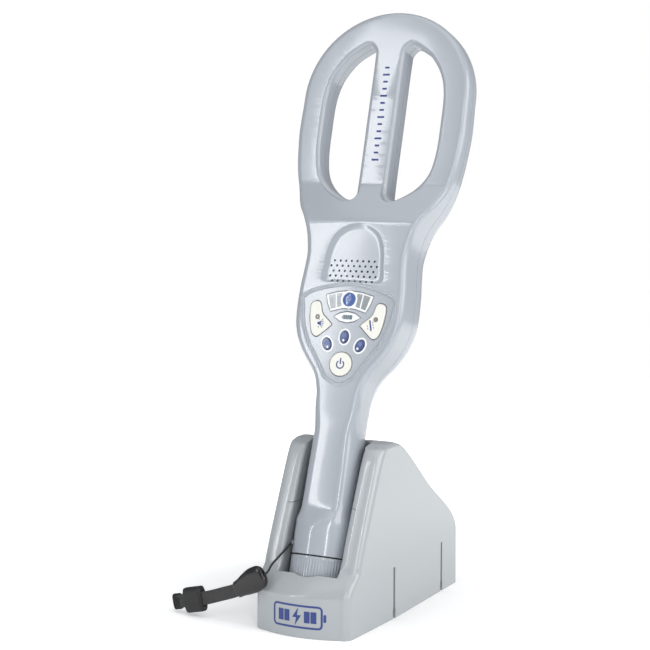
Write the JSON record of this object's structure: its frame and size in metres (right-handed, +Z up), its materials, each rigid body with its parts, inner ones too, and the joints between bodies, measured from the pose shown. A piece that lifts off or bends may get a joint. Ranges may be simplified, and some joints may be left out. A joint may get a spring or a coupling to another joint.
{
  "type": "hand-held scanning wand with charging cradle",
  "caption": "Hand-held scanning wand with an oval loop head, loudspeaker, keypad and ribbed battery cap, standing in its charging cradle, with a wrist strap.",
  "frame": {"origin": "centre of the cradle's footprint, on the surface it stands on", "axes": "+Z up, -Y out of the cradle's front, +X to a viewer's right who faces the front"},
  "size_m": [0.185, 0.1967, 0.4484],
  "materials": {
    "shell": "glossy moulded plastic, light grey",
    "cradle": "satin moulded plastic, light grey",
    "base": "matt moulded plastic, dark grey",
    "keys": "satin keys, off-white",
    "level_keys": "glossy keys, navy",
    "window": "glossy indicator window, grey",
    "lens": "unlit lamp lens",
    "black": "moulded black",
    "webbing": "woven black webbing and cord",
    "rubber": "black rubber",
    "steel": "plated steel",
    "copper": "enamelled copper winding",
    "board": "circuit board"
  },
  "bodies": {
    "cradle": {"cradle_housing": "cradle", "cradle_base": "base", "charge_board": "board", "power_socket": "black", "rubber_foot_1": "rubber", "rubber_foot_2": "rubber", "rubber_foot_3": "rubber", "rubber_foot_4": "rubber", "base_screw_1": "steel", "base_screw_2": "steel", "base_screw_3": "steel", "base_screw_4": "steel"},
    "wand": {"front_shell": "shell", "rear_shell": "shell", "search_coil": "copper", "main_board": "board", "speaker": "black", "display_window": "window", "alarm_lens": "level_keys", "battery_lens": "keys", "led_left": "lens", "led_right": "lens", "vibration_motor": "steel", "battery_cell_1": "steel", "battery_cell_2": "steel", "battery_contact": "steel", "battery_spring": "steel", "strap_lug": "shell", "shell_screw_1": "steel", "shell_screw_2": "steel", "shell_screw_3": "steel", "shell_screw_4": "steel", "cap_seal": "rubber", "strap_cord": "webbing", "strap_tab": "black", "strap_webbing": "webbing"},
    "cap": {"battery_cap": "shell", "cap_contact_ring": "steel", "cap_contact_centre": "steel"},
    "power_key": {"power_button": "keys"},
    "left_key": {"function_key_left": "keys"},
    "right_key": {"function_key_right": "keys"},
    "level_left": {"level_key_left": "level_keys"},
    "level_centre": {"level_key_centre": "level_keys"},
    "level_right": {"level_key_right": "level_keys"},
    "pin_centre": {"charge_pin_1": "steel"},
    "pin_ring": {"charge_pin_2": "steel"},
    "slider": {"strap_slider": "black"}
  },
  "joints": [
    {"name": "wand_lift", "type": "slide", "parent": "cradle", "child": "wand", "axis": [0, 0.2924, 0.9563], "range_m": [0, 0.13]},
    {"name": "cap_turn", "type": "hinge", "parent": "wand", "child": "cap", "pos_m": [0, -0.0646, 0.0289], "axis": [0, 0.2924, 0.9563], "range_deg": [0, 90]},
    {"name": "power_press", "type": "slide", "parent": "wand", "child": "power_key", "axis": [0, 0.9563, -0.2924], "range_m": [0, 0.0006], "stiffness_N_per_m": 2000},
    {"name": "left_press", "type": "slide", "parent": "wand", "child": "left_key", "axis": [0, 0.9563, -0.2924], "range_m": [0, 0.0006], "stiffness_N_per_m": 2000},
    {"name": "right_press", "type": "slide", "parent": "wand", "child": "right_key", "axis": [0, 0.9563, -0.2924], "range_m": [0, 0.0006], "stiffness_N_per_m": 2000},
    {"name": "level_left_press", "type": "slide", "parent": "wand", "child": "level_left", "axis": [0, 0.9563, -0.2924], "range_m": [0, 0.0006], "stiffness_N_per_m": 2000},
    {"name": "level_centre_press", "type": "slide", "parent": "wand", "child": "level_centre", "axis": [0, 0.9563, -0.2924], "range_m": [0, 0.0006], "stiffness_N_per_m": 2000},
    {"name": "level_right_press", "type": "slide", "parent": "wand", "child": "level_right", "axis": [0, 0.9563, -0.2924], "range_m": [0, 0.0006], "stiffness_N_per_m": 2000},
    {"name": "pin_centre_press", "type": "slide", "parent": "cradle", "child": "pin_centre", "axis": [0, -0.2924, -0.9563], "range_m": [0, 0.0007], "stiffness_N_per_m": 300},
    {"name": "pin_ring_press", "type": "slide", "parent": "cradle", "child": "pin_ring", "axis": [0, -0.2924, -0.9563], "range_m": [0, 0.0007], "stiffness_N_per_m": 300},
    {"name": "slider_slide", "type": "slide", "parent": "wand", "child": "slider", "axis": [-0.9474, 0.2013, -0.2487], "range_m": [0, 0.006]}
  ]
}
